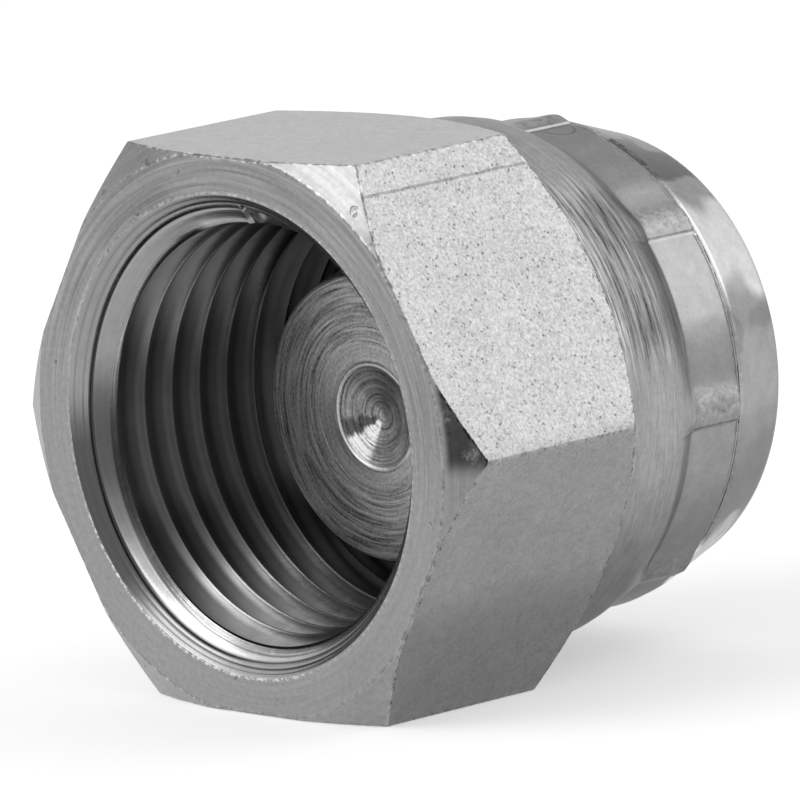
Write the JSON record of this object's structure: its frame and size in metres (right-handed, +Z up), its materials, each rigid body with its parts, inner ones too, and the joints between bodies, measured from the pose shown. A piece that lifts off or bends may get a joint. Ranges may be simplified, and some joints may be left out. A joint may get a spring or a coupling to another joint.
{
  "type": "threaded protection cap",
  "caption": "Hexagonal swivel nut with an internal thread, its skirt crimped over a loose solid plug whose coned nose closes a tube fitting.",
  "frame": {"origin": "on the nut's thread axis, in the plane of the mouth face", "axes": "+Y along the thread axis, from the mouth to the crimped end; +Z up, square to two of the spanner flats; +X to the right when looking into the mouth"},
  "size_m": [0.0254, 0.0213, 0.022],
  "materials": {
    "plated_nut": "bright zinc plate over turned and drawn steel, satin flats",
    "turned_plug": "bright zinc plate over a turned face with concentric tool marks"
  },
  "bodies": {
    "nut": {"swivel_nut": "plated_nut"},
    "plug": {"sealing_plug": "turned_plug"}
  },
  "joints": [
    {"name": "plug_swivel", "type": "hinge", "parent": "nut", "child": "plug", "pos_m": [0, 0.01672, -0.0001], "axis": [0, 0.9992, 0.0402], "continuous": true}
  ]
}
